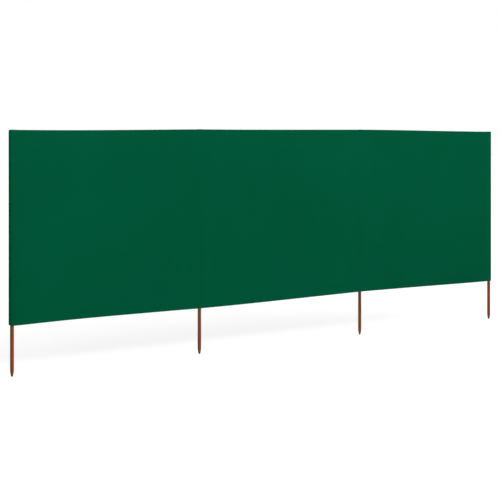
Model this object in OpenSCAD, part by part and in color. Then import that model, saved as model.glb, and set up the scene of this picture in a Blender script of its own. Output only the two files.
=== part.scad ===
// Beach windbreak: one length of hemmed cloth in three bays, carried by four pointed wooden poles.
// The poles stand along X with the cloth drawn over their front, which faces -Y. Z is up.
// The origin is the middle of the flat foot of the left-hand pole.

/* [Run] */
// Width of the left and the right bay, from pole centre to pole centre
end_bay_w = 1302; // [600:1:1800]
// Width of the middle bay: the end sleeves take no cloth from it, so it is a little wider
middle_bay_w = 1354; // [600:1:1800]

/* [Poles] */
// Diameter of a pole
pole_d = 24; // [18:1:32]
// Length of a pole, from its foot to its top
pole_l = 1500; // [900:10:1900]
// Bare length of pole below the cloth, pointed end included
bare_l = 310; // [200:5:450]
// Height of the rounded point
point_l = 45; // [30:1:70]
// Diameter of the flat foot left on the point
foot_d = 10; // [4:0.5:14]
// Height and width of the bevel round the top of a pole
top_bevel = 2; // [0.5:0.5:4]

/* [Cloth] */
// Thickness of a layer of cloth
cloth_t = 1; // [0.5:0.1:2]
// Room between a pole and the cloth round it
pocket_gap = 1; // [0.5:0.1:2]
// Extra room left in the fold of an end sleeve, outside its pole
fold_slack = 7; // [1:0.5:12]
// Distance from the centre of a pole to the seam that closes its pocket
seam_x = 36; // [30:1:60]
// Width of the strip that is stitched down beyond that seam
seam_allowance = 12; // [8:1:20]
// Width of the folded hem along the top and the bottom
hem_w = 20; // [10:1:30]

/* [Hidden] */
$fn = 96;

cloth_green = [0.0, 0.33, 0.22];
wood_brown = [0.49, 0.27, 0.16];

// Bays and poles, counted from the left
bay_w = [end_bay_w, middle_bay_w, end_bay_w];
pole_x = [0, end_bay_w, end_bay_w + middle_bay_w, 2 * end_bay_w + middle_bay_w];
last_pole = 3;

// The point of a pole bulges along an arc that meets the shaft with no corner
pole_r = pole_d / 2;
foot_r = foot_d / 2;
point_inset = pole_r - foot_r;
point_arc_r = (point_l * point_l + point_inset * point_inset) / (2 * point_inset);
point_steps = 12;
function point_z(s) = point_l * s / point_steps;
function point_r(z) = pole_r - point_arc_r + sqrt(pow(point_arc_r, 2) - pow(point_l - z, 2));

// Heights of the cloth: every pocket is closed above its pole
cloth_bottom = bare_l;
lid_z = pole_l + pocket_gap;
cloth_top = lid_z + cloth_t;
cloth_h = cloth_top - cloth_bottom;

// The round part of a pocket, inside and outside, and the face where cloth lies on cloth
pocket_r = pole_r + pocket_gap;
pocket_outer_r = pocket_r + cloth_t;
back_of_cloth = -pocket_r;

// From the pole the back of a pocket runs straight to the seam, as a tangent of the round part
seam_angle = atan2(back_of_cloth, seam_x);
leave_angle = 2 * seam_angle + 90;
function on_pocket(r) = [r * cos(leave_angle), r * sin(leave_angle)];
tangent_drop = pocket_outer_r * sin(leave_angle) - back_of_cloth - cloth_t;
outer_seam_x = pocket_outer_r * cos(leave_angle) + tangent_drop * tan(leave_angle);
strip_end = seam_x + seam_allowance;

// Outline of one side of a pocket: half of the round part and the straight run to its seam
module pocket_side(r, seam_end, seam_y) {
    intersection() {
        circle(r = r);
        translate([0, back_of_cloth])
            square([r, r - back_of_cloth]);
    }
    polygon([
        [0, back_of_cloth],
        [seam_end, back_of_cloth],
        [seam_end, seam_y],
        on_pocket(r),
        [0, 0]
    ]);
}

// Space that a pole stands in, to the right of its centre
module room_side() {
    pocket_side(pocket_r, seam_x, back_of_cloth);
}

// The same space with its cloth and with the strip stitched down beyond the seam
module wrapped_side() {
    pocket_side(pocket_outer_r, outer_seam_x, back_of_cloth + cloth_t);
    translate([0, back_of_cloth])
        square([strip_end, cloth_t]);
}

// Both sides of a shape that is drawn to the right of a pole
module both_sides() {
    children();
    mirror([1, 0])
        children();
}

// Outline of the loose fold round the outside of an end pole
module fold_outline(r) {
    intersection() {
        union() {
            translate([-fold_slack, 0])
                circle(r = r);
            translate([-fold_slack, -r])
                square([fold_slack, 2 * r]);
        }
        translate([-fold_slack - r, -r])
            square([fold_slack + r, 2 * r]);
    }
}

// Cloth of an end sleeve seen from above, with its pole at the origin and its bay to the right
module sleeve_section() {
    difference() {
        union() {
            wrapped_side();
            fold_outline(pocket_outer_r);
        }
        room_side();
        fold_outline(pocket_r);
    }
}

// Lid over an end sleeve, which keeps the pole from pushing through
module sleeve_lid() {
    pocket_side(pocket_outer_r, outer_seam_x, back_of_cloth + cloth_t);
    fold_outline(pocket_outer_r);
}

// Cloth of a pocket behind the face of the windbreak, seen from above
module pocket_section() {
    difference() {
        both_sides()
            wrapped_side();
        both_sides()
            room_side();
    }
}

// Lid over a pocket
module pocket_lid() {
    both_sides()
        pocket_side(pocket_outer_r, outer_seam_x, back_of_cloth + cloth_t);
}

// A round wooden pole: flat foot, rounded point, straight shaft and bevelled top
module pole(i) {
    color(wood_brown)
        translate([pole_x[i], 0, 0])
            rotate_extrude()
                polygon(concat(
                    [[0, 0]],
                    [for (s = [0:point_steps]) [point_r(point_z(s)), point_z(s)]],
                    [
                        [pole_r, pole_l - top_bevel],
                        [pole_r - top_bevel, pole_l],
                        [0, pole_l]
                    ]
                ));
}

// The front layer of cloth from one pole centre to the next
module cloth_bay(i) {
    color(cloth_green)
        translate([pole_x[i], back_of_cloth - cloth_t, cloth_bottom])
            cube([bay_w[i], cloth_t, cloth_h]);
}

// The sleeve of the left-hand pole: the cloth goes round the pole and is stitched down behind
module end_sleeve() {
    translate([0, 0, cloth_bottom])
        linear_extrude(height = cloth_h)
            sleeve_section();
    translate([0, 0, lid_z])
        linear_extrude(height = cloth_t)
            sleeve_lid();
}

module end_sleeve_left() {
    color(cloth_green)
        end_sleeve();
}

module end_sleeve_right() {
    color(cloth_green)
        translate([pole_x[last_pole], 0, 0])
            mirror([1, 0, 0])
                end_sleeve();
}

// The pocket of a middle pole: a strip stitched to the back of the cloth on both sides of the pole
module pole_pocket(i) {
    color(cloth_green)
        translate([pole_x[i], 0, 0]) {
            translate([0, 0, cloth_bottom])
                linear_extrude(height = cloth_h)
                    pocket_section();
            translate([0, 0, lid_z])
                linear_extrude(height = cloth_t)
                    pocket_lid();
        }
}

// A hem folded to the back, between the strips of two neighbouring pockets
module hem(i, z) {
    color(cloth_green)
        translate([pole_x[i] + strip_end, back_of_cloth, z])
            cube([bay_w[i] - 2 * strip_end, cloth_t, hem_w]);
}

module top_hem(i) {
    hem(i, cloth_top - hem_w);
}

module bottom_hem(i) {
    hem(i, cloth_bottom);
}

pole(0);  // pole_1
pole(1);  // pole_2
pole(2);  // pole_3
pole(last_pole);  // pole_4
cloth_bay(0);  // cloth_bay_1
cloth_bay(1);  // cloth_bay_2
cloth_bay(2);  // cloth_bay_3
end_sleeve_left();
end_sleeve_right();
pole_pocket(1);  // pole_pocket_2
pole_pocket(2);  // pole_pocket_3
top_hem(0);  // top_hem_1
top_hem(1);  // top_hem_2
top_hem(2);  // top_hem_3
bottom_hem(0);  // bottom_hem_1
bottom_hem(1);  // bottom_hem_2
bottom_hem(2);  // bottom_hem_3
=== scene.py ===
# %% [markdown]
# # Beach windbreak: one length of taut cloth on four pointed poles
#
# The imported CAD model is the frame. It gives the place and the size of every pole, bay, sleeve,
# pocket and hem. This lesson dresses them in cloth that shows how it is pulled, folded hems, rows
# of stitches, and stained wood. All is in metres, X along the run, -Y out of the face, Z up.

# %% Load the frame
import math

import bpy
import numpy as np
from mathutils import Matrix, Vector, noise


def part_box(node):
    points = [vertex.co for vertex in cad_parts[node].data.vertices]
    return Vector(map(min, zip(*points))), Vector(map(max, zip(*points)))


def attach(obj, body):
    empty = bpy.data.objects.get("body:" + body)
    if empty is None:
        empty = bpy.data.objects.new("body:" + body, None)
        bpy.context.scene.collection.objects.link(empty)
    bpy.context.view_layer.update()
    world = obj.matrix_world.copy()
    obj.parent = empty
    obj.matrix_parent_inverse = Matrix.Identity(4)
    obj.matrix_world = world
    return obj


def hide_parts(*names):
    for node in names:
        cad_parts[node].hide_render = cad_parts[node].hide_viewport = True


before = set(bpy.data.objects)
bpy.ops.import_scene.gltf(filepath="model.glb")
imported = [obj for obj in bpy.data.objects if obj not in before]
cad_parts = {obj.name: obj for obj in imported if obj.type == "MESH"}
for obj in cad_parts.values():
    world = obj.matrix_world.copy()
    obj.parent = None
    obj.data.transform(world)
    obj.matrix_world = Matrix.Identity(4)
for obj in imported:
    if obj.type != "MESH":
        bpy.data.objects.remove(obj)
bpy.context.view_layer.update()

# %% [markdown]
# ## Reading the frame
#
# A maker measures before cutting. The poles' centres, their radius, and the heights of the
# cloth's two edges are read from the CAD nodes, so nothing here is typed in twice.

# %% Measure the poles and the cloth
MM = 0.001
POLE_NODES = ["pole_1", "pole_2", "pole_3", "pole_4"]
BAY_NODES = ["cloth_bay_1", "cloth_bay_2", "cloth_bay_3"]


def middle_of(node):
    """The middle of a CAD node's box."""
    low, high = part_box(node)
    return (low + high) / 2


pole_x = [middle_of(node).x for node in POLE_NODES]
pole_low, pole_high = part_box("pole_1")
POLE_R = (pole_high.x - pole_low.x) / 2
POLE_TOP = pole_high.z
bay_low, bay_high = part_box("cloth_bay_1")
CLOTH_BOTTOM, CLOTH_TOP = bay_low.z, bay_high.z
CLOTH_H = CLOTH_TOP - CLOTH_BOTTOM
FACE_Y = (bay_low.y + bay_high.y) / 2
LAYER_GAP = bay_high.y - bay_low.y
print("poles at", np.round(pole_x, 3), "radius", round(POLE_R, 4))
print("cloth from", round(CLOTH_BOTTOM, 3), "to", round(CLOTH_TOP, 3))

# %% Measure a sleeve and a hem
sleeve_low, sleeve_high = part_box("end_sleeve_left")
FOLD_R = -FACE_Y
FOLD_SLACK = pole_x[0] - sleeve_low.x - (FOLD_R + LAYER_GAP / 2)
STRIP_END = sleeve_high.x - pole_x[0]
print("fold radius", round(FOLD_R, 4), "and slack", round(FOLD_SLACK, 4))

# %% [markdown]
# ## Camera
#
# The eye stands about as high as the top of the windbreak, in front of its left end, and looks
# level towards the middle, so the poles stay parallel. The lens is shifted down to bring the feet
# in. With the camera set first, each piece can be judged from where it will be seen.

# %% Place the camera
EYE_LEFT_OF_POLE, EYE_IN_FRONT, EYE_HEIGHT = 2.174, 6.270, 1.445
LOOK_TO_THE_RIGHT = math.radians(31.726)
LENS_MM, LENS_SHIFT_DOWN = 76.64, 0.222


def put_in_scene(name, data):
    """A new object at the origin, linked to the scene."""
    thing = bpy.data.objects.new(name, data)
    bpy.context.scene.collection.objects.link(thing)
    return thing


camera = put_in_scene("camera", bpy.data.cameras.new("camera"))
camera.data.lens = LENS_MM
camera.data.shift_y = -LENS_SHIFT_DOWN
camera.location = (pole_x[0] - EYE_LEFT_OF_POLE, -EYE_IN_FRONT, EYE_HEIGHT)
camera.rotation_euler = (math.pi / 2, 0, -LOOK_TO_THE_RIGHT)
bpy.context.scene.camera = camera
bpy.context.scene.view_settings.view_transform = "Standard"
print("camera at", np.round(camera.location, 3))

# %% [markdown]
# ## Tools for node trees
#
# Lights, finishes and generated shapes are all trees of nodes. A node is made, given its plain
# values and joined to the sockets that feed it, again and again, so five small helpers do that.
# For any input of a node, they take either a socket or a plain value.

# %% Add nodes and feed their inputs


def feed(socket, value):
    """Join an input to a socket of the same tree, or set it to a plain value."""
    if isinstance(value, bpy.types.NodeSocket):
        socket.id_data.links.new(value, socket)
    else:
        socket.default_value = value


def set_inputs(node, **values):
    """Feed each named input. A space in its name is written _."""
    for label, value in values.items():
        feed(node.inputs[label.replace("_", " ")], value)


def add_node(tree, kind, options=None, **values):
    """A new node. Its options are set first, because they decide which inputs it shows."""
    node = tree.nodes.new(kind)
    for option, value in (options or {}).items():
        setattr(node, option, value)
    set_inputs(node, **values)
    return node


def maths(operation, *terms):
    """The output of a math node on sockets and plain numbers."""
    tree = next(term.id_data for term in terms if isinstance(term, bpy.types.NodeSocket))
    node = add_node(tree, "ShaderNodeMath", {"operation": operation})
    for socket, term in zip(node.inputs, terms):
        feed(socket, term)
    return node.outputs[0]


def ramp(factor, stops):
    """The output of a colour ramp with (position, colour) stops."""
    node = add_node(factor.id_data, "ShaderNodeValToRGB", Fac=factor)
    elements = node.color_ramp.elements
    for position, _ in stops[1:-1]:
        elements.new(position)
    for element, (position, colour) in zip(elements, stops):
        element.position = position
        element.color = (*colour, 1)
    return node.outputs["Color"]


print("node helpers ready")

# %% [markdown]
# ## Studio
#
# The light is a pale sky, one broad, soft sun from the right, a weaker fill from behind, and a
# long softbox in front of the top edge, so near that its light falls off towards the ground. All
# of it is kept plain, so that a colour comes out about as it is written. A Light Path switch
# shows the floor and the sky as white without more light on the cloth, and the floor still takes
# a soft shadow.

# %% Make the sky
SKY_LIGHT = 0.41
SHOWN_WHITE = 1.0
WHITE = (1, 1, 1, 1)


def shown_rays(tree):
    """1 on camera, glossy and transmission rays, and 0 on rays that light things."""
    path = add_node(tree, "ShaderNodeLightPath")
    total = path.outputs["Is Camera Ray"]
    for ray in ("Is Glossy Ray", "Is Transmission Ray"):
        total = maths("MAXIMUM", total, path.outputs[ray])
    return total


world = bpy.data.worlds.new("sky")
bpy.context.scene.world = world
world.use_nodes = True
sky = world.node_tree
lit = sky.nodes["Background"]
set_inputs(lit, Color=WHITE, Strength=SKY_LIGHT)
shown = add_node(sky, "ShaderNodeBackground", Color=WHITE, Strength=SHOWN_WHITE)
pick = add_node(sky, "ShaderNodeMixShader", Fac=shown_rays(sky))
feed(pick.inputs[1], lit.outputs[0])
feed(pick.inputs[2], shown.outputs[0])
set_inputs(sky.nodes["World Output"], Surface=pick.outputs[0])
print("the sky lights with", SKY_LIGHT, "and shows as", SHOWN_WHITE)

# %% Make the sun and the fill behind
SUN_STRENGTH, SUN_FROM = 1.52, Vector((0.70, -0.68, 0.60))
FILL_STRENGTH, FILL_FROM = 0.90, Vector((-0.45, 0.75, 0.80))
SUN_SOFTNESS = math.radians(50)
SUN_DISTANCE = 5


def make_sun(name, strength, comes_from):
    """A broad sun whose light comes from the given direction."""
    sun = put_in_scene(name, bpy.data.lights.new(name, "SUN"))
    sun.data.energy = strength
    sun.data.angle = SUN_SOFTNESS
    sun.rotation_mode = "QUATERNION"
    sun.rotation_quaternion = comes_from.to_track_quat("Z", "Y")
    sun.location = comes_from * SUN_DISTANCE


make_sun("sun", SUN_STRENGTH, SUN_FROM)
make_sun("back_fill", FILL_STRENGTH, FILL_FROM)
print("sun", SUN_STRENGTH, "fill", FILL_STRENGTH)

# %% Make the softbox
SOFTBOX_POWER = 40
SOFTBOX_LENGTH, SOFTBOX_HEIGHT = 10.0, 0.5
SOFTBOX_IN_FRONT, SOFTBOX_ABOVE_TOP = 2.0, 0.15

softbox = put_in_scene("softbox", bpy.data.lights.new("softbox", "AREA"))
softbox.data.shape = "RECTANGLE"
softbox.data.size = SOFTBOX_LENGTH
softbox.data.size_y = SOFTBOX_HEIGHT
softbox.data.energy = SOFTBOX_POWER
run_middle = (pole_x[0] + pole_x[-1]) / 2
softbox.location = (run_middle, -SOFTBOX_IN_FRONT, CLOTH_TOP + SOFTBOX_ABOVE_TOP)
softbox.rotation_euler = (math.pi / 2, 0, 0)
softbox.visible_camera = False
print("softbox", SOFTBOX_POWER, "W at", np.round(softbox.location, 2))

# %% Make the floor
FLOOR_GREY, FLOOR_LIFT = 0.55, 0.60
FLOOR_REACH = 60


def new_material(name):
    """A new material, with its node tree and its shader."""
    material = bpy.data.materials.new(name)
    material.use_nodes = True
    return material, material.node_tree, material.node_tree.nodes["Principled BSDF"]


pale_floor, tree, paint = new_material("pale_floor")
grey = (FLOOR_GREY, FLOOR_GREY, FLOOR_GREY, 1)
set_inputs(paint, Base_Color=grey, Roughness=1.0, Specular_IOR_Level=0.0, Emission_Color=WHITE)
set_inputs(paint, Emission_Strength=maths("MULTIPLY", shown_rays(tree), FLOOR_LIFT))
floor_mesh = bpy.data.meshes.new("floor")
corners = [(x * FLOOR_REACH, y * FLOOR_REACH, 0) for x, y in ((-1, -1), (1, -1), (1, 1), (-1, 1))]
floor_mesh.from_pydata(corners, [], [(0, 1, 2, 3)])
floor_mesh.materials.append(pale_floor)
put_in_scene("floor", floor_mesh)
print("floor grey", FLOOR_GREY, "shown lighter by", FLOOR_LIFT)

# %% [markdown]
# ## Shader groups: weave and uneven tone
#
# Two effects belong to more than one finish. The weave is a plain over-and-under of warp and
# weft, and both the face cloth and the doubled cloth of hems and pockets have it. The uneven
# tone is the slow drift of a dye or a stain, which cloth and wood both have: two layers of noise,
# each with its detail and its share. Each effect is built once, as a group that puts out only
# heights or masks.

# %% Start a group with named sockets
FLOAT, VECTOR = "NodeSocketFloat", "NodeSocketVector"


def group_tree(name, kind, sockets_in, sockets_out):
    """An empty group of the given kind with named sockets, and its two end nodes."""
    tree = bpy.data.node_groups.new(name, kind)
    for side, sockets in (("INPUT", sockets_in), ("OUTPUT", sockets_out)):
        for label, socket_type in sockets.items():
            tree.interface.new_socket(label, in_out=side, socket_type=socket_type)
    return tree, tree.nodes.new("NodeGroupInput"), tree.nodes.new("NodeGroupOutput")


print("groups take", FLOAT, "and", VECTOR)

# %% The weave group


def weave_group():
    """Plain weave: warp and weft ribs that take turns on top, from a flat cloth coordinate."""
    sockets_in = {"Cloth Position": VECTOR, "Yarns per Metre": FLOAT}
    sockets_out = {"Height": FLOAT, "Gap": FLOAT}
    tree, start, end = group_tree("plain_weave", "ShaderNodeTree", sockets_in, sockets_out)
    place = add_node(tree, "ShaderNodeSeparateXYZ", Vector=start.outputs["Cloth Position"])
    ribs, yarns = [], []
    for axis in ("X", "Y"):
        count = maths("MULTIPLY", place.outputs[axis], start.outputs["Yarns per Metre"])
        wave = maths("SINE", maths("MULTIPLY", count, math.pi))
        ribs.append(maths("ABSOLUTE", wave))
        yarns.append(maths("FLOOR", count))
    warp_turn = maths("PINGPONG", maths("ADD", *yarns), 1.0)
    weft_turn = maths("SUBTRACT", 1.0, warp_turn)
    weft_top = maths("MULTIPLY", ribs[1], weft_turn)
    height = maths("MULTIPLY_ADD", ribs[0], warp_turn, weft_top)
    gap = maths("SUBTRACT", 1.0, maths("MAXIMUM", *ribs))
    set_inputs(end, Height=height, Gap=gap)
    return tree


WEAVE = weave_group()
print("group", WEAVE.name)

# %% The uneven tone group
TONE_LAYERS = {"Broad Scale": (2.0, 0.75), "Fine Scale": (4.0, 0.25)}


def tone_group():
    """A slow drift from 0 to 1 with a finer, weaker one on top of it."""
    sockets_in = {"Position": VECTOR, **dict.fromkeys(TONE_LAYERS, FLOAT)}
    tree, start, end = group_tree("uneven_tone", "ShaderNodeTree", sockets_in, {"Tone": FLOAT})
    tone = 0.0
    for label, (detail, layer_share) in TONE_LAYERS.items():
        cloud = add_node(tree, "ShaderNodeTexNoise", Vector=start.outputs["Position"],
                         Scale=start.outputs[label], Detail=detail)
        tone = maths("MULTIPLY_ADD", cloud.outputs["Fac"], layer_share, tone)
    set_inputs(end, Tone=tone)
    return tree


TONE = tone_group()
print("group", TONE.name, "with layers", list(TONE_LAYERS))

# %% [markdown]
# ## The cloth's finish
#
# The cloth is a dyed polyester in a close plain weave: deep bottle green, matt, with almost no
# shine. Real dye and dust vary slowly over a metre and slightly along each yarn. The green is a
# ramp over that drift, with painted shade in the gaps of the weave, and the weave also makes the
# bump. Its coordinate is the cloth's own UV map in metres, so the yarns follow it round the poles.
# Thin cloth lets a little light through, but not where a pole stands behind it, so a faint dark
# streak of painted shade is mixed into the colour along the lower half of each middle pole.

# %% Painted shade where the middle poles block the light
STREAK_HALF_WIDTH = 24 * MM
STREAK_ASIDE = 20 * MM
STREAK_TOP, STREAK_FULL = 1.25, 0.65
# How much the painted shade of the pole streaks darkens the green.
POLE_PAINTED_SHADE = 0.15


def low_down(tree, place, clear_height, full_height):
    """1 up to the full height, fading to 0 at the clear one."""
    height = add_node(tree, "ShaderNodeSeparateXYZ", Vector=place).outputs["Z"]
    fade = add_node(tree, "ShaderNodeMapRange", {"interpolation_type": "SMOOTHSTEP"},
                    Value=height, From_Min=clear_height, From_Max=full_height)
    return fade.outputs["Result"]


def painted_pole_shade(tree, place):
    """Painted shade: 1 low along each middle pole, 0 away from it and in the upper part of the cloth."""
    along = add_node(tree, "ShaderNodeSeparateXYZ", Vector=place).outputs["X"]
    streaks = 0.0
    for pole in pole_x[1:-1]:
        beside = maths("SUBTRACT", along, pole + STREAK_ASIDE)
        beside = maths("DIVIDE", beside, STREAK_HALF_WIDTH)
        squared = maths("MULTIPLY", beside, beside)
        streak = maths("EXPONENT", maths("MULTIPLY", squared, -1.0))
        streaks = maths("ADD", streak, streaks)
    return maths("MULTIPLY", streaks, low_down(tree, place, STREAK_TOP, STREAK_FULL))


print("each streak is about", round(2 * STREAK_HALF_WIDTH / MM), "mm wide")

# %% Cloth materials
GREEN_RAMP = {0.30: (0.0001, 0.0835, 0.0365), 0.50: (0.0002, 0.0900, 0.0395), 0.72: (0.0003, 0.0950, 0.0417)}
YARNS_PER_METRE = 1100.0
CLOTH_TONE = {"Broad_Scale": 1.3, "Fine_Scale": 24.0}
# How much painted shade darkens the gaps of the weave.
GAP_PAINTED_SHADE = 0.35
CLOTH_ROUGHNESS, ROUGHER_WITH_TONE = 0.76, 0.12
YARN_RELIEF, YARN_BUMP = 0.15 * MM, 0.35
CLOTH_SHINE = {"Specular_IOR_Level": 0.01, "Sheen_Weight": 0.03, "Sheen_Roughness": 0.5}
SHEEN_GREEN = (0.0, 0.9, 0.5, 1)


def cloth_material(name, painted_shade_factor):
    """Woven green cloth. The factor below 1 is painted shade: it darkens the doubled cloth of hems a little.
    """
    material, tree, paint = new_material(name)
    flat = add_node(tree, "ShaderNodeUVMap", {"uv_map": "flat_cloth"})
    weave = add_node(tree, "ShaderNodeGroup", {"node_tree": WEAVE}, Cloth_Position=flat.outputs["UV"],
                     Yarns_per_Metre=YARNS_PER_METRE)
    place = add_node(tree, "ShaderNodeTexCoord").outputs["Object"]
    drift = add_node(tree, "ShaderNodeGroup", {"node_tree": TONE}, Position=place, **CLOTH_TONE)
    tone = drift.outputs["Tone"]
    # Painted shade: the gaps of the weave are painted darker.
    gap_shade = maths("MULTIPLY", weave.outputs["Gap"], GAP_PAINTED_SHADE)
    # Painted shade: a dark streak over each middle pole joins the painted shade of the gaps.
    painted_shade_amount = maths("MULTIPLY_ADD", painted_pole_shade(tree, place), POLE_PAINTED_SHADE, gap_shade)
    stops = [(position, [painted_shade_factor * part for part in green]) for position, green in GREEN_RAMP.items()]
    green = ramp(maths("SUBTRACT", tone, painted_shade_amount), stops)
    rough = maths("MULTIPLY_ADD", tone, ROUGHER_WITH_TONE, CLOTH_ROUGHNESS)
    relief = add_node(tree, "ShaderNodeBump", Strength=YARN_BUMP, Distance=YARN_RELIEF,
                      Height=weave.outputs["Height"])
    set_inputs(paint, Base_Color=green, Roughness=rough, Normal=relief.outputs["Normal"])
    set_inputs(paint, Sheen_Tint=SHEEN_GREEN, **CLOTH_SHINE)
    return material


face_cloth = cloth_material("face_cloth", painted_shade_factor=1.0)
# Hems, pockets and lids take a darker copy of the face cloth: painted shade.
doubled_cloth = cloth_material("doubled_cloth", painted_shade_factor=0.93)
print(face_cloth.name, "and", doubled_cloth.name, "with", YARNS_PER_METRE, "yarns per metre")

# %% [markdown]
# ## Thread
#
# Polyester thread is dyed to match the cloth. Its ramp is painted paler, a painted highlight for
# the little more light that it catches, and a fine twist shows across it close up as bands of that
# painted highlight, made by a wave on the object's own coordinates.

# %% Thread material
THREAD_RAMP_WITH_HIGHLIGHT = {0.2: (0.0006, 0.085, 0.038), 0.8: (0.0030, 0.150, 0.070)}
THREAD_SHINE = {"Roughness": 0.6, "Specular_IOR_Level": 0.12}
TWISTS_PER_METRE = 2600.0

green_thread, tree, paint = new_material("green_thread")
twist = add_node(tree, "ShaderNodeTexWave", {"wave_type": "BANDS", "bands_direction": "DIAGONAL"},
                 Vector=add_node(tree, "ShaderNodeTexCoord").outputs["Object"],
                 Scale=TWISTS_PER_METRE / (2 * math.pi))
# The paler stops are a painted highlight, banded along the twist.
thread_green_and_highlight = ramp(twist.outputs["Fac"], list(THREAD_RAMP_WITH_HIGHLIGHT.items()))
set_inputs(paint, Base_Color=thread_green_and_highlight, **THREAD_SHINE)
print("thread material", green_thread.name)

# %% [markdown]
# ## The poles' wood
#
# The poles are turned from a straight-grained wood and stained red-brown. Grain is noise that is
# stretched along the pole, in three widths: long dark pores, soft bands, and fine fibre. The
# point was cut after turning, so its end shows darker end grain, and the last centimetre has
# soaked up ground water. All of it reads Object coordinates, which run through the wood as the
# real grain does.

# %% Grain that runs along the pole
GRAIN = {
    "bands": {"across": 130.0, "along": 5.0, "detail": 3.0, "waviness": 0.6},
    "fibre": {"across": 900.0, "along": 22.0, "detail": 4.0, "waviness": 0.0},
    "pores": {"across": 520.0, "along": 9.0, "detail": 2.0, "waviness": 0.0},
}
GRAIN_SHARES = {"bands": 0.50, "fibre": 0.25, "tone": 0.25}
WOOD_TONE = {"Broad_Scale": 5.0, "Fine_Scale": 60.0}


def grain_masks(tree, place):
    """Noise with cells long in Z and narrow across, one mask for each width of grain."""
    masks = {}
    for name, grain in GRAIN.items():
        stretch = (grain["across"], grain["across"], grain["along"])
        stretched = add_node(tree, "ShaderNodeMapping", Vector=place, Scale=stretch)
        cloud = add_node(tree, "ShaderNodeTexNoise", Vector=stretched.outputs["Vector"], Scale=1.0,
                         Detail=grain["detail"], Distortion=grain["waviness"])
        masks[name] = cloud.outputs["Fac"]
    drift = add_node(tree, "ShaderNodeGroup", {"node_tree": TONE}, Position=place, **WOOD_TONE)
    masks["tone"] = drift.outputs["Tone"]
    return masks


print("grain in", list(GRAIN))

# %% Dark pores and the dark end
PORE_LEVEL, PORE_EDGE = 0.60, 0.02
PORE_CONTRAST, PORE_DARKEST = 5.0, 0.7
DARK_END_TOP, DARK_END_FULL = 17.6 * MM, 5.5 * MM


def pore_mask(pores):
    """0 on most of the wood, rising where the pore noise passes its level."""
    above = maths("SUBTRACT", pores, PORE_LEVEL)
    above = maths("SMOOTH_MAX", above, 0.0, PORE_EDGE)
    return maths("MINIMUM", maths("MULTIPLY", above, PORE_CONTRAST), PORE_DARKEST)


print("the end is dark up to", round(DARK_END_TOP / MM, 1), "mm")

# %% Wood material
STAIN_RAMP = {0.34: (0.128, 0.030, 0.010), 0.50: (0.245, 0.068, 0.022), 0.66: (0.340, 0.106, 0.038)}
END_GRAIN = (0.035, 0.014, 0.008, 1)
WOOD_ROUGHNESS, ROUGHER_WHERE_DARK = 0.48, 0.25
GRAIN_RELIEF, GRAIN_BUMP, FIBRE_RELIEF = 0.25 * MM, 0.5, 0.6
WOOD_SHINE = 0.12

stained_wood, tree, paint = new_material("stained_wood")
place = add_node(tree, "ShaderNodeTexCoord").outputs["Object"]
masks = grain_masks(tree, place)
mixed = 0.0
for name, grain_share in GRAIN_SHARES.items():
    mixed = maths("MULTIPLY_ADD", masks[name], grain_share, mixed)
stain = ramp(mixed, list(STAIN_RAMP.items()))
pores = pore_mask(masks["pores"])
dark = maths("MAXIMUM", pores, low_down(tree, place, DARK_END_TOP, DARK_END_FULL))
colour = add_node(tree, "ShaderNodeMix", {"data_type": "RGBA"}, Factor=dark, A=stain, B=END_GRAIN)
rough = maths("MULTIPLY_ADD", dark, ROUGHER_WHERE_DARK, WOOD_ROUGHNESS)
height = maths("SUBTRACT", maths("MULTIPLY", masks["fibre"], FIBRE_RELIEF), pores)
relief = add_node(tree, "ShaderNodeBump", Strength=GRAIN_BUMP, Distance=GRAIN_RELIEF, Height=height)
set_inputs(paint, Base_Color=colour.outputs["Result"], Roughness=rough,
           Normal=relief.outputs["Normal"], Specular_IOR_Level=WOOD_SHINE)
print("wood material", stained_wood.name)

# %% [markdown]
# ## How the cloth hangs
#
# A windbreak's cloth is pulled from pole to pole, so it is nearly flat, but never quite. The air
# makes each bay belly a few millimetres, and the middle poles press it out into low ridges. Each
# pocket leaves shallow folds that fan out from its ends. At the two end poles the cloth swells
# forward before it turns back, and along a hem the stitching draws it into small puckers. A
# simulation could hang it too, but a taut sheet hardly moves, and a sum of plain functions is
# quicker and exact. The hems, the pockets and the stitches all ask the same sum, so they stay
# together.

# %% Heights of the cloth's two edges
TOP_AT_POLES = [-1 * MM, 8 * MM, 12 * MM, 2 * MM]
TOP_DIP = [3 * MM, 1.5 * MM, 0 * MM]
BOTTOM_AT_POLES = [1 * MM, -3 * MM, 7.5 * MM, -3.7 * MM]
BOTTOM_LIFT = [3 * MM, -3 * MM, -1 * MM]
CORNER_DROP = 13 * MM
CORNER_START = 0.8 * POLE_R


def smooth(t):
    """0 below 0, 1 above 1, and a smooth step between."""
    t = min(max(t, 0.0), 1.0)
    return t * t * (3 - 2 * t)


def bay_at(x):
    """The bay that x lies in, and how far across it, from 0 to 1."""
    bay = sum(x >= pole for pole in pole_x[1:-1])
    across = (x - pole_x[bay]) / (pole_x[bay + 1] - pole_x[bay])
    return bay, min(max(across, 0.0), 1.0)


def edge_heights(x):
    """Heights of the bottom and the top edge of the cloth at x. Each drifts from pole to pole."""
    bay, across = bay_at(x)
    arch = 4 * across * (1 - across)
    blend = smooth(across)
    outside = max(pole_x[0] - x, x - pole_x[-1], 0.0)
    corner_share = max(outside - CORNER_START, 0.0) / (FOLD_R + FOLD_SLACK - CORNER_START)
    corner = CORNER_DROP * corner_share ** 2
    bottom = BOTTOM_AT_POLES[bay] * (1 - blend) + BOTTOM_AT_POLES[bay + 1] * blend
    top = TOP_AT_POLES[bay] * (1 - blend) + TOP_AT_POLES[bay + 1] * blend
    low = CLOTH_BOTTOM + bottom + BOTTOM_LIFT[bay] * arch + corner / 2
    high = CLOTH_TOP + top - TOP_DIP[bay] * arch - corner
    return low, high


for pole in pole_x:
    bottom, top = edge_heights(pole)
    print("cloth at pole from", round(bottom, 4), "to", round(top, 4))

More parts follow.
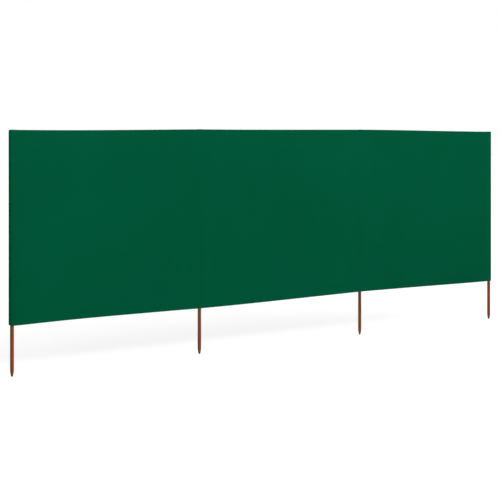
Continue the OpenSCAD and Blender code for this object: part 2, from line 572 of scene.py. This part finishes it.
# %% The belly of each bay
BELLY_HIGH = [3 * MM, 1 * MM, 3 * MM]
BELLY_LOW = [7 * MM, 9 * MM, 6 * MM]
BELLY_CENTRE = [0.50, 0.42, 0.55]


def belly(bay, across, up):
    """The bay's slow curve backwards, deeper below, with its deepest place to one side."""
    centre = BELLY_CENTRE[bay]
    t = across / centre / 2 if across < centre else 1 - (1 - across) / (1 - centre) / 2
    depth = BELLY_LOW[bay] + (BELLY_HIGH[bay] - BELLY_LOW[bay]) * smooth(up)
    return depth * math.sin(math.pi * t)


print("bellies", [round(belly(bay, 0.5, 0.0) / MM, 1) for bay in range(len(BAY_NODES))], "mm")

# %% The swell at the two ends
LEFT_SWELL = {"high": 2.5 * MM, "low": 11.5 * MM, "width": 0.030, "power": 1.0}
RIGHT_SWELL = {"high": 5.0 * MM, "low": 7.0 * MM, "width": 0.115, "power": 1.5}
SWELL_FADE = 0.45


def end_swell(x, up):
    """From the outer side of an end sleeve the cloth swells forward, more so near the ground."""
    outer = FOLD_SLACK + FOLD_R
    left, right = x - (pole_x[0] - outer), pole_x[-1] + outer - x
    distance, swell = (left, LEFT_SWELL) if left < right else (right, RIGHT_SWELL)
    distance = max(distance, 0.0)
    depth = swell["low"] + (swell["high"] - swell["low"]) * smooth(up)
    rise = 1 - math.exp(-((distance / swell["width"]) ** swell["power"]))
    return -depth * rise * (1 - smooth(distance / SWELL_FADE))


print("swell over the left end pole", round(end_swell(pole_x[0], 0.0) / MM, 1), "mm")

# %% The ridges over the middle poles
RIDGE_DEPTH, RIDGE_WIDTH = 3.0 * MM, 0.045
RIDGE_SPREAD = 4
RIDGE_TOP, RIDGE_FADE = 1.25, 0.35


def pole_ridge(x, z):
    """From half way down, the middle poles press the cloth out into a low ridge."""
    distance = min(abs(x - pole) for pole in pole_x[1:-1])
    below = smooth((RIDGE_TOP - z) / RIDGE_FADE)
    near = 1 - math.exp(-((distance / RIDGE_WIDTH) ** 2))
    fade = math.exp(-((distance / (RIDGE_SPREAD * RIDGE_WIDTH)) ** 2))
    return RIDGE_DEPTH * below * near * fade


beside_pole = pole_ridge(pole_x[1] + RIDGE_WIDTH, CLOTH_BOTTOM)
print("beside a ridge the cloth lies", round(beside_pole / MM, 1), "mm back")

# %% Folds that fan out from the corners
FOLD_DEPTH = 0.7 * MM
FOLD_START, FOLD_REACH = 0.16, 0.62
FOLD_SPOKES = {(0, 0): 10.0, (0, 1): 12.0, (1, 0): 14.0, (1, 1): 11.0}
TURN_PER_CORNER, TURN_PER_BAY = 1.7, 2.3
CHECKS = 40


def pull_folds(bay, across, up):
    """Shallow folds that fan out from the four corners of a bay, where the pockets pull."""
    width = pole_x[bay + 1] - pole_x[bay]
    total = 0.0
    for corner, ((side, end), spokes) in enumerate(FOLD_SPOKES.items()):
        dx = abs(side - across) * width
        dz = abs(end - up) * CLOTH_H
        distance = math.hypot(dx, dz)
        fade = smooth(distance / FOLD_START) * math.exp(-((distance / FOLD_REACH) ** 2))
        turn = TURN_PER_CORNER * corner + TURN_PER_BAY * bay
        total += fade * math.sin(spokes * math.atan2(dz, dx) + turn)
    return FOLD_DEPTH * total


shares = np.linspace(0, 1, CHECKS)
deepest = max(pull_folds(1, across, up) for across in shares for up in shares)
print("the folds of the middle bay are up to", round(deepest / MM, 1), "mm deep")

# %% Puckers and stitched grooves
PUCKER_DEPTH, PUCKER_LENGTH, PUCKER_REACH = 0.22 * MM, 58 * MM, 45 * MM
PUCKER_CHANGES, PUCKER_WANDER, PUCKER_LAYER = 4.0, 3, 7.1
HEM_STITCH = 17 * MM
SEAM_STITCH = STRIP_END - 8 * MM
GROOVE_DEPTH, GROOVE_WIDTH = 0.45 * MM, 2.4 * MM
seam_lines = [pole_x[0] + SEAM_STITCH, pole_x[-1] - SEAM_STITCH]
for pole in pole_x[1:-1]:
    seam_lines += [pole - SEAM_STITCH, pole + SEAM_STITCH]


def puckers(x, up):
    """The hem's stitching gathers the cloth beside it a little."""
    from_edge = min(up, 1 - up) * CLOTH_H
    change = noise.noise(Vector((x * PUCKER_CHANGES, PUCKER_LAYER, up)))
    wave = math.sin(2 * math.pi * x / PUCKER_LENGTH + PUCKER_WANDER * change)
    return PUCKER_DEPTH * (1 + change) * wave * math.exp(-from_edge / PUCKER_REACH)


def grooves(x, z):
    """Each row of stitches draws the cloth in to a narrow groove."""
    low, high = edge_heights(x)
    from_row = min(abs(high - HEM_STITCH - z), abs(z - low - HEM_STITCH))
    from_row = min([from_row] + [abs(x - seam) for seam in seam_lines])
    return GROOVE_DEPTH * math.exp(-((from_row / GROOVE_WIDTH) ** 2))


print("seams at", np.round(seam_lines, 3))

# %% The sum: how far the face lies from its flat place
POLE_GRIP = 0.11
DRIFT_DEPTH = 1.3 * MM
DRIFT_ACROSS, DRIFT_UP, DRIFT_LAYER = 1.5, 1.1, 0.3
DRIFT_CLOUD = {"H": 0.7, "lacunarity": 2.1, "octaves": 3}


def face_shift(x, z):
    """How far the cloth's face lies behind its flat place, in metres."""
    bay, across = bay_at(x)
    up = min(max((z - CLOTH_BOTTOM) / CLOTH_H, 0.0), 1.0)
    width = pole_x[bay + 1] - pole_x[bay]
    free = smooth(min(across, 1 - across) * width / POLE_GRIP)
    place = Vector((x * DRIFT_ACROSS, DRIFT_LAYER, z * DRIFT_UP))
    drift = DRIFT_DEPTH * noise.fractal(place, *DRIFT_CLOUD.values())
    slow = belly(bay, across, up) + pull_folds(bay, across, up) + drift
    return free * (slow + puckers(x, up)) + end_swell(x, up) + pole_ridge(x, z) + grooves(x, z)


heights = np.linspace(CLOTH_BOTTOM, CLOTH_TOP, CHECKS)
checks = [face_shift(x, z) for x in np.linspace(pole_x[0], pole_x[-1], CHECKS) for z in heights]
print("the face moves", round(min(checks) / MM, 1), "to", round(max(checks) / MM, 1), "mm")

# %% [markdown]
# ## Making cloth from a grid
#
# Cloth is a grid of points with a real thickness. Each point is moved half a thickness both ways
# along the sheet's own normal to make the two faces, and a rim closes the edge. A UV map in
# metres says where each point lies on the flat cloth, which the weave follows, and the measured
# lengths tell how large the piece was cut. A Solidify modifier could thicken it too, but this
# needs none.

# %% Normals and flat lengths of a grid
CLOTH_THICKNESS = 0.6 * MM
NEARLY_NOTHING = 1e-12


def grid_normals(points):
    """Unit normals of a grid of points, on the side that rows x columns turn towards."""
    along = np.gradient(points, axis=1)
    upward = np.gradient(points, axis=0)
    normal = np.cross(along, upward)
    return normal / np.maximum(np.linalg.norm(normal, axis=2, keepdims=True), NEARLY_NOTHING)


def running_length(line):
    """The length of a line of points up to each of them."""
    return np.r_[0, np.cumsum(np.linalg.norm(np.diff(line, axis=0), axis=1))]


print("cloth is", round(CLOTH_THICKNESS / MM, 1), "mm thick")

# %% Build closed cloth from a grid of points


def grid_faces(rows, columns):
    """Faces of the front, the back and the rim, where the back's points follow the front's."""
    number = np.arange(rows * columns).reshape(rows, columns).tolist()
    back = rows * columns
    faces = []
    for lower, upper in zip(number, number[1:]):
        for a, b, c, d in zip(lower, lower[1:], upper[1:], upper):
            faces += [(a, b, c, d), (back + d, back + c, back + b, back + a)]
    right, left = [row[-1] for row in number], [row[0] for row in number]
    rim = number[0] + right[1:] + number[-1][-2::-1] + left[-2:0:-1]
    for a, b in zip(rim, rim[1:] + rim[:1]):
        faces.append((b, a, back + a, back + b))
    return faces


def triangles_in(mesh):
    """The mesh's number of triangles."""
    return sum(len(face.vertices) - 2 for face in mesh.polygons)


def cloth_from_grid(name, points, thickness, material):
    """A closed sheet. Points is rows x columns x 3, rows upwards. The face is on the normals' side."""
    shift = grid_normals(points) * thickness / 2
    vertices = np.concatenate([(points + shift).reshape(-1, 3), (points - shift).reshape(-1, 3)])
    mesh = bpy.data.meshes.new(name)
    mesh.from_pydata(vertices.tolist(), [], grid_faces(*points.shape[:2]))
    run = running_length(points[points.shape[0] // 2])
    rise = running_length(points[:, points.shape[1] // 2])
    flat = np.stack(np.meshgrid(run, rise), axis=2).reshape(-1, 2)
    flat = np.concatenate([flat, flat])
    corner_vertex = np.zeros(len(mesh.loops), np.int32)
    mesh.loops.foreach_get("vertex_index", corner_vertex)
    layer = mesh.uv_layers.new(name="flat_cloth")
    layer.uv.foreach_set("vector", flat[corner_vertex].astype(np.float32).ravel())
    mesh.shade_smooth()
    mesh.materials.append(material)
    mesh.validate()
    print(name, "triangles", triangles_in(mesh), "cut", round(run[-1], 3), "x", round(rise[-1], 3))
    return put_in_scene(name, mesh), run[-1], rise[-1]


print("cloth builder ready")

# %% [markdown]
# ## The path round a pole
#
# Seen from above, an end sleeve starts where it is stitched to the back of the cloth. It runs
# straight to the back of the pole and round its loose fold, and comes out in front as the face. A
# middle pocket is the same path without the fold, mirrored on both sides of its pole. The
# straight part touches the round one without a kink, so it is worked out as a tangent.

# %% Where a pocket leaves its pole
STRIP_LAP = 12 * MM
SEAM_X = STRIP_END - STRIP_LAP
BACK_FACE_Y = FACE_Y + LAYER_GAP
leave_angle = math.atan2(BACK_FACE_Y, SEAM_X) + math.acos(FOLD_R / math.hypot(SEAM_X, BACK_FACE_Y))
leave_x, leave_y = FOLD_R * math.cos(leave_angle), FOLD_R * math.sin(leave_angle)
print("pockets leave their pole at", round(math.degrees(leave_angle), 1), "degrees")

# %% Plan of a sleeve and of a pocket
ARC_STEPS, FOLD_STEPS, RUN_STEPS = 6, 24, 5


def round_the_pole(centre_x, start, stop, steps):
    """Points on an arc of the fold's radius, between two angles."""
    angles = np.linspace(start, stop, steps + 1)
    return [(centre_x + FOLD_R * math.cos(a), FOLD_R * math.sin(a)) for a in angles]


strip = [(STRIP_END, BACK_FACE_Y), ((STRIP_END + SEAM_X) / 2, BACK_FACE_Y)]
run_x = np.linspace(SEAM_X, leave_x, RUN_STEPS + 1)[:-1]
run_y = np.linspace(BACK_FACE_Y, leave_y, RUN_STEPS + 1)[:-1]
half_pocket = strip + list(zip(run_x, run_y)) + round_the_pole(0, leave_angle, math.pi / 2, ARC_STEPS)
sleeve_plan = half_pocket + round_the_pole(-FOLD_SLACK, math.pi / 2, math.pi * 3 / 2, FOLD_STEPS)
pocket_plan = half_pocket + [(-x, y) for x, y in half_pocket[-2::-1]]
print("sleeve plan", len(sleeve_plan), "points, pocket plan", len(pocket_plan), "points")

# %% [markdown]
# ## Cloth
#
# One length of cloth makes the face and both end sleeves, so it is one sheet here too: the plan
# of the left sleeve, the face in even steps, and the left sleeve mirrored. The front of each
# loose fold and the strips on the back of the face move with the face. Behind the pole, that
# movement fades out along the straight run to the pole, which holds still.

# %% Lay out the rows and columns
FACE_STEP = 10 * MM
EDGE_ROWS = [0, 2, 6, 11, 15, 17, 19, 24, 32, 44]
MIDDLE_ROWS = 70
GROOVE_COLUMNS = [-5 * MM, -2 * MM, 0, 2 * MM, 5 * MM]
GROOVE_CLEAR = 6 * MM


def even_places(start, stop, step):
    """Places from start to stop, in even steps of about the given size."""
    return np.linspace(start, stop, round((stop - start) / step) + 1).tolist()


near = [mm * MM / CLOTH_H for mm in EDGE_ROWS]
middle = np.linspace(near[-1], 1 - near[-1], MIDDLE_ROWS).tolist()
row_shares = near + middle[1:-1] + [1 - share for share in reversed(near)]
close = [seam + offset for seam in seam_lines for offset in GROOVE_COLUMNS]
face_columns = even_places(pole_x[0], pole_x[-1], FACE_STEP)
face_columns = [x for x in face_columns if all(abs(x - seam) > GROOVE_CLEAR for seam in seam_lines)]
face_columns = sorted(face_columns + close)
print("rows", len(row_shares), "columns on the face", len(face_columns))

# %% Make the sheet


def moves_with_face(local_x):
    """1 on the strip that is stitched to the face, fading to 0 where the pocket leaves its pole."""
    return smooth((local_x - leave_x) / (SEAM_X - leave_x))


def sleeve_share(x, y):
    """The front of the loose fold belongs to the face, and the rest moves as a pocket does."""
    return 1.0 if x < 0 and y < 0 else moves_with_face(x)


def cloth_point(x, y, share, z):
    """A point of the sheet, moved by its share of the face's movement."""
    return (x, y + share * face_shift(x, z), z)


def cloth_points(plan):
    """A grid over a plan of (x, y, share of the face's movement), from edge to edge."""
    columns = []
    for x, y, share in plan:
        low, high = edge_heights(x)
        columns.append([cloth_point(x, y, share, low + up * (high - low)) for up in row_shares])
    return np.array(columns).transpose(1, 0, 2)


left_sleeve = [(pole_x[0] + x, y, sleeve_share(x, y)) for x, y in sleeve_plan]
right_sleeve = [(pole_x[-1] - x, y, sleeve_share(x, y)) for x, y in reversed(sleeve_plan)]
sheet_plan = left_sleeve + [(x, FACE_Y, 1.0) for x in face_columns] + right_sleeve
sheet_points = cloth_points(sheet_plan)
cloth, cloth_run, cloth_rise = cloth_from_grid("cloth", sheet_points, CLOTH_THICKNESS, face_cloth)

# %% [markdown]
# ## Pockets of the middle poles
#
# Each middle pole stands in a strip that is stitched to the back of the face on both sides of it.
# It is cut from the same cloth, and its two seams pull it tight round the back of the pole.

# %% Make the two pocket strips
pockets = {}
for number, pole in list(enumerate(pole_x, start=1))[1:-1]:
    strip_points = cloth_points([(pole + x, y, moves_with_face(abs(x))) for x, y in pocket_plan])
    name = f"pocket_strip_{number}"
    pockets[number] = cloth_from_grid(name, strip_points, CLOTH_THICKNESS, doubled_cloth)

# %% [markdown]
# ## Hems
#
# A hem is the cloth's own edge, folded twice to the back and stitched. From behind it is a band
# that stands about a millimetre proud, rolls over at the outer edge and is pulled flat by the
# stitches, so its profile is a short list of heights and depths.

# %% Make the six hems
HEM_LAYERS = 0.7 * MM
HEM_PROFILE = [(0, 0.10), (0.6, 0.55), (2, 0.85), (9, 0.92), (15, 0.80), (17, 0.62), (20, 0.78)]


def behind_face(x, z, depth):
    """A point that far behind the middle of the face's cloth."""
    return (x, FACE_Y + face_shift(x, z) + depth, z)


def hem_points(bay, at_top):
    """A band behind the face between two pockets, at the top or the bottom."""
    start, stop = pole_x[bay] + STRIP_END, pole_x[bay + 1] - STRIP_END
    rows = []
    for mm, depth in HEM_PROFILE:
        row = []
        for x in even_places(start, stop, FACE_STEP):
            bottom, top = edge_heights(x)
            z = top - mm * MM if at_top else bottom + mm * MM
            row.append(behind_face(x, z, depth * LAYER_GAP))
        rows.append(row)
    points = np.array(rows)
    return points[::-1] if at_top else points


hems = {}
for bay in range(len(BAY_NODES)):
    for at_top, edge in ((True, "top"), (False, "bottom")):
        name = f"{edge}_hem_of_bay_{bay + 1}"
        hems[edge, bay] = cloth_from_grid(name, hem_points(bay, at_top), HEM_LAYERS, doubled_cloth)[0]

# %% [markdown]
# ## Closed pocket tops
#
# Every pocket is sewn shut above its pole, or the pole would push through when it is driven in.
# The closing piece is a patch of doubled cloth, stretched into a low dome by the pole's top and
# turned down round its edge.

# %% The two walls of a pocket, seen from above


def front_wall(x):
    """The pocket's front at x, where positive x is towards the seam."""
    if x > -FOLD_SLACK:
        return FACE_Y
    return -math.sqrt(max(FOLD_R ** 2 - (x + FOLD_SLACK) ** 2, 0.0))


def back_wall(x):
    """The pocket's back at x: the fold, the round of the pole, then straight to the seam."""
    if x < -FOLD_SLACK:
        return -front_wall(x)
    if x < leave_x:
        return math.sqrt(FOLD_R ** 2 - max(x, 0.0) ** 2)
    return leave_y + (x - leave_x) / (SEAM_X - leave_x) * (BACK_FACE_Y - leave_y)


print("pocket is", round((back_wall(0) - front_wall(0)) / MM, 1), "mm deep at its pole")

# %% Make a domed lid over each pocket
LID_RISE, LID_TUCK = 0.6 * MM, 0.36 * MM
LID_COLUMNS = 30
HALF_LID_PROFILE = [(0, 4.0), (0, 0.4), (0.12, 0.1), (0.3, 0)]
LID_PROFILE = [*HALF_LID_PROFILE, (0.5, 0), *((1 - depth, drop) for depth, drop in HALF_LID_PROFILE[::-1])]


def lid_point(pole, x, turn, end_pole, depth, drop):
    """A point of the lid: depth goes from 0 at the pocket's front to 1 at its back."""
    side = x if end_pole else abs(x)
    place = pole + turn * x
    top = edge_heights(place)[1]
    shift = face_shift(place, top)
    front = front_wall(side) + LID_TUCK + shift
    back = back_wall(side) - LID_TUCK + moves_with_face(side) * shift
    dome = LID_RISE * math.sin(math.pi * depth) * min(1.0, (back - front) / (2 * POLE_R))
    return (place, front + depth * (back - front), top + dome - drop * MM)


def make_lid(name, pole, end_pole, turn):
    """A lid over one pocket. Turn is -1 where the pocket opens to the left of its pole."""
    reach = FOLD_R + FOLD_SLACK - LID_TUCK if end_pole else SEAM_X
    rounds = np.linspace(0, math.pi, LID_COLUMNS)[::turn]
    places = [-reach + (SEAM_X + reach) * (1 - math.cos(a)) / 2 for a in rounds]
    rows = [[lid_point(pole, x, turn, end_pole, *row) for x in places] for row in LID_PROFILE]
    return cloth_from_grid(name, np.array(rows), CLOTH_THICKNESS, doubled_cloth)[0]


lids = [
    make_lid("left_sleeve_top", pole_x[0], end_pole=True, turn=1),
    make_lid("pocket_2_top", pole_x[1], end_pole=False, turn=1),
    make_lid("pocket_3_top", pole_x[2], end_pole=False, turn=1),
    make_lid("right_sleeve_top", pole_x[3], end_pole=True, turn=-1),
]

# %% [markdown]
# ## Poles with Geometry Nodes
#
# A turned pole follows one rule: a radius for each height. The tree draws a straight line,
# divides it evenly, and gives each ring its radius: an arc at the point, which meets the shaft
# with no corner. A faint noise leaves the marks of the lathe and the knife. One tree makes all
# four poles, each with its own place and seed.

# %% Start, end and run a Geometry Nodes tree


def geometry_tree(name, sockets_in):
    """A Geometry Nodes tree with named inputs, besides the geometry that goes in and out."""
    geometry = {"Geometry": "NodeSocketGeometry"}
    sockets_in = {**geometry, **sockets_in, "Material": "NodeSocketMaterial"}
    return group_tree(name, "GeometryNodeTree", sockets_in, geometry)


def finish_tree(tree, geometry, material, end):
    """The close of each tree: real meshes in place of instances, and their material."""
    real = add_node(tree, "GeometryNodeRealizeInstances", Geometry=geometry)
    finished = add_node(tree, "GeometryNodeSetMaterial", Geometry=real.outputs[0], Material=material)
    set_inputs(end, Geometry=finished.outputs[0])


def run_tree(name, tree, values, base_mesh):
    """A piece with the tree's result as a plain mesh. Inputs are set by identifier."""
    piece = put_in_scene(name, base_mesh)
    modifier = piece.modifiers.new("maker", "NODES")
    modifier.node_group = tree
    for item in tree.interface.items_tree:
        if item.in_out == "INPUT" and item.name in values:
            modifier[item.identifier] = values[item.name]
    graph = bpy.context.evaluated_depsgraph_get()
    made = bpy.data.meshes.new_from_object(piece.evaluated_get(graph))
    piece.modifiers.remove(modifier)
    piece.data = made
    made.name = name
    made.shade_smooth()
    print(name, "triangles", triangles_in(made))
    return piece


print("tree helpers ready")

# %% The rule for a pole's radius


def radius_at_height(height, shaft_radius, foot_radius, point_length):
    """The shaft's radius, less the depth of an arc from the top of the point down."""
    inset = maths("SUBTRACT", shaft_radius, foot_radius)
    length_squared = maths("MULTIPLY", point_length, point_length)
    both_squared = maths("MULTIPLY_ADD", inset, inset, length_squared)
    arc = maths("DIVIDE", both_squared, maths("MULTIPLY", inset, 2.0))
    below = maths("MAXIMUM", maths("SUBTRACT", point_length, height), 0.0)
    below_squared = maths("MULTIPLY", below, below)
    arc_squared = maths("MULTIPLY", arc, arc)
    reach = maths("SQRT", maths("SUBTRACT", arc_squared, below_squared))
    return maths("ADD", maths("SUBTRACT", reach, arc), shaft_radius)


print("radius rule ready")

# %% Tree for a turned pole
POLE_RINGS, POLE_SIDES = 320, 36
MARK_SCALE, MARK_DETAIL, MARK_LEVEL = 55.0, 2.0, 0.62


def pole_tree():
    """A pole: a line, divided into rings, with a radius for each height and faint marks."""
    sizes = ("Length", "Shaft Radius", "Foot Radius", "Point Length", "Hand Marks", "Seed")
    tree, start, end = geometry_tree("turned_pole", {"Place": VECTOR, **dict.fromkeys(sizes, FLOAT)})
    given = start.outputs
    top = add_node(tree, "ShaderNodeCombineXYZ", Z=given["Length"])
    line = add_node(tree, "GeometryNodeCurvePrimitiveLine", End=top.outputs[0])
    rings = add_node(tree, "GeometryNodeResampleCurve", Curve=line.outputs[0], Count=POLE_RINGS)
    here = add_node(tree, "GeometryNodeInputPosition")
    height = add_node(tree, "ShaderNodeSeparateXYZ", Vector=here.outputs[0]).outputs["Z"]
    radius = radius_at_height(height, given["Shaft Radius"], given["Foot Radius"], given["Point Length"])
    ring = add_node(tree, "GeometryNodeCurvePrimitiveCircle", Resolution=POLE_SIDES, Radius=1.0)
    body = add_node(tree, "GeometryNodeCurveToMesh", Curve=rings.outputs[0], Fill_Caps=True)
    set_inputs(body, Profile_Curve=ring.outputs["Curve"], Scale=radius)
    marks = add_node(tree, "ShaderNodeTexNoise", {"noise_dimensions": "4D"}, W=given["Seed"],
                     Scale=MARK_SCALE, Detail=MARK_DETAIL)
    mark = maths("SUBTRACT", marks.outputs["Fac"], MARK_LEVEL)
    depth = maths("MULTIPLY", mark, given["Hand Marks"])
    outward = add_node(tree, "GeometryNodeInputNormal").outputs[0]
    push = add_node(tree, "ShaderNodeVectorMath", {"operation": "SCALE"}, Vector=outward, Scale=depth)
    marked = add_node(tree, "GeometryNodeSetPosition", Geometry=body.outputs[0], Offset=push.outputs[0])
    placed = add_node(tree, "GeometryNodeTransform", Geometry=marked.outputs[0], Translation=given["Place"])
    finish_tree(tree, placed.outputs[0], given["Material"], end)
    return tree


TURNED_POLE = pole_tree()
print("tree", TURNED_POLE.name)

# %% Make the four poles
POLE_SIZES = {
    "Length": POLE_TOP,
    "Shaft Radius": POLE_R,
    "Foot Radius": 5 * MM,
    "Point Length": 45 * MM,
    "Hand Marks": 0.22 * MM,
    "Material": stained_wood,
}
SHARP_EDGE = math.radians(40)
FIRST_POLE_SEED, NEXT_POLE_SEED = 3.0, 5.0
POLE_NAMES = ["left_end_pole", "second_pole", "third_pole", "right_end_pole"]

poles = []
for index, name in enumerate(POLE_NAMES):
    seed = FIRST_POLE_SEED + NEXT_POLE_SEED * index
    values = {**POLE_SIZES, "Place": (pole_x[index], 0.0, 0.0), "Seed": seed}
    pole = run_tree(name, TURNED_POLE, values, bpy.data.meshes.new(f"{name}_start"))
    pole.data.set_sharp_from_angle(angle=SHARP_EDGE)
    poles.append(pole)

# %% [markdown]
# ## Stitches with Geometry Nodes
#
# A sewing machine leaves the same short dash thousands of times, so it is work for a tree. Each
# row is a chain of points on the cloth, on the face and again on the back. The tree divides it by
# the stitch pitch and sets one small rounded dash on each division, turned along the row, with a
# slight change in size from a fixed seed.

# %% Tree for a row of stitches
DASH_SIDES, DASH_RINGS = 5, 4
SMALLEST_DASH, LARGEST_DASH = 0.88, 1.06


def stitch_tree():
    """Rows of thread: each chain of edges is divided by the pitch, with a dash on each point."""
    sizes = dict.fromkeys(("Pitch", "Stitch Length", "Thread Radius"), FLOAT)
    tree, start, end = geometry_tree("stitch_row", {**sizes, "Seed": "NodeSocketInt"})
    given = start.outputs
    rows = add_node(tree, "GeometryNodeMeshToCurve", Mesh=given["Geometry"])
    spots = add_node(tree, "GeometryNodeCurveToPoints", {"mode": "LENGTH"}, Curve=rows.outputs[0],
                     Length=given["Pitch"])
    dash = add_node(tree, "GeometryNodeMeshUVSphere", Segments=DASH_SIDES, Rings=DASH_RINGS, Radius=1.0)
    half_length = maths("MULTIPLY", given["Stitch Length"], 0.5)
    size = add_node(tree, "ShaderNodeCombineXYZ", X=given["Thread Radius"], Y=given["Thread Radius"],
                    Z=half_length)
    shaped = add_node(tree, "GeometryNodeTransform", Geometry=dash.outputs["Mesh"], Scale=size.outputs[0])
    vary = add_node(tree, "FunctionNodeRandomValue", {"data_type": "FLOAT"}, Seed=given["Seed"],
                    Min=SMALLEST_DASH, Max=LARGEST_DASH)
    sewn = add_node(tree, "GeometryNodeInstanceOnPoints", Points=spots.outputs["Points"],
                    Instance=shaped.outputs[0], Rotation=spots.outputs["Rotation"],
                    Scale=vary.outputs["Value"])
    finish_tree(tree, sewn.outputs[0], given["Material"], end)
    return tree


STITCH_ROW = stitch_tree()
print("tree", STITCH_ROW.name)

# %% Sew chains of points
STITCH_PITCH = 4.2 * MM
STITCH_SIZES = {
    "Pitch": STITCH_PITCH,
    "Stitch Length": 3.1 * MM,
    "Thread Radius": 0.35 * MM,
    "Material": green_thread,
}


def chains_mesh(name, chains):
    """A mesh of edges only, one chain of points after another."""
    vertices, edges = [], []
    for chain in chains:
        first = len(vertices)
        vertices += chain
        edges += [(first + i, first + i + 1) for i in range(len(chain) - 1)]
    mesh = bpy.data.meshes.new(name)
    mesh.from_pydata(vertices, edges, [])
    return mesh


def sew(name, chains, seed):
    """One piece of stitching along all the given chains."""
    rows = chains_mesh(f"{name}_rows", chains)
    return run_tree(name, STITCH_ROW, {**STITCH_SIZES, "Seed": seed}, rows)


print("a stitch each", round(STITCH_PITCH / MM, 1), "mm")

# %% Sew the two hems
THREAD_PROUD = 0.1 * MM
HEM_DEPTH_AT_ROW = 0.75
FACE_OUT = CLOTH_THICKNESS / 2 + THREAD_PROUD
HEM_BACK_OUT = LAYER_GAP * HEM_DEPTH_AT_ROW + CLOTH_THICKNESS / 2 + THREAD_PROUD
ROW_STEP = 20 * MM


def hem_stitch_height(x, at_top):
    """Height of a hem's row of stitches at x."""
    low, high = edge_heights(x)
    return high - HEM_STITCH if at_top else low + HEM_STITCH


def row_round_the_sheet(at_top):
    """A row on the outer side of the whole cloth, round both end sleeves."""
    chain = np.array([cloth_point(*point, hem_stitch_height(point[0], at_top)) for point in sheet_plan])
    along = np.gradient(chain, axis=0)
    outward = np.stack([along[:, 1], -along[:, 0], np.zeros(len(chain))], axis=1)
    outward /= np.linalg.norm(outward, axis=1, keepdims=True)
    return (chain + outward * FACE_OUT).tolist()


def row_behind_the_hem(bay, at_top):
    """A row on the back of one hem, one stitch inside its two ends."""
    inside = STRIP_END + STITCH_PITCH
    places = even_places(pole_x[bay] + inside, pole_x[bay + 1] - inside, ROW_STEP)
    return [behind_face(x, hem_stitch_height(x, at_top), HEM_BACK_OUT) for x in places]


stitches = []
for at_top, name, seed in ((True, "top_hem_stitches", 11), (False, "bottom_hem_stitches", 12)):
    behind = [row_behind_the_hem(bay, at_top) for bay in range(len(BAY_NODES))]
    stitches.append(sew(name, [row_round_the_sheet(at_top), *behind], seed))

# %% Sew the pocket seams
SEAM_BACK_OUT = LAYER_GAP + CLOTH_THICKNESS / 2 + THREAD_PROUD / 2
SEAM_END = 3 * MM
SEAM_SEED = 23


def seam_row(x, depth):
    """An upright row on the face or on the back of a seam."""
    bottom, top = edge_heights(x)
    heights = np.linspace(bottom + SEAM_END, top - SEAM_END, round(CLOTH_H / ROW_STEP) + 1)
    return [behind_face(x, z, depth) for z in heights]


seam_rows = [seam_row(x, depth) for x in seam_lines for depth in (-FACE_OUT, SEAM_BACK_OUT)]
stitches.append(sew("pocket_seam_stitches", seam_rows, SEAM_SEED))

# %% [markdown]
# ## Pieces on the body
#
# Each piece rides on the one body, and the CAD nodes that the pieces stand for are hidden.

# %% Ride on the body
on_the_cloth = [*hems.values(), *lids, *stitches]
for piece in poles:
    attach(piece, "root")
for piece in [cloth, *(piece for piece, _, _ in pockets.values()), *on_the_cloth]:
    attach(piece, "root")

# %% Hide the CAD nodes that the pieces stand for
for piece, node in zip(poles, POLE_NODES):
    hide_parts(node)
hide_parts(*BAY_NODES, "end_sleeve_left", "end_sleeve_right")
for number, (piece, _, _) in pockets.items():
    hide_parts(f"pole_pocket_{number}")
for (edge, bay), piece in hems.items():
    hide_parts(f"{edge}_hem_{bay + 1}")
print("cloth stands for", len(BAY_NODES), "bays and 2 sleeves")
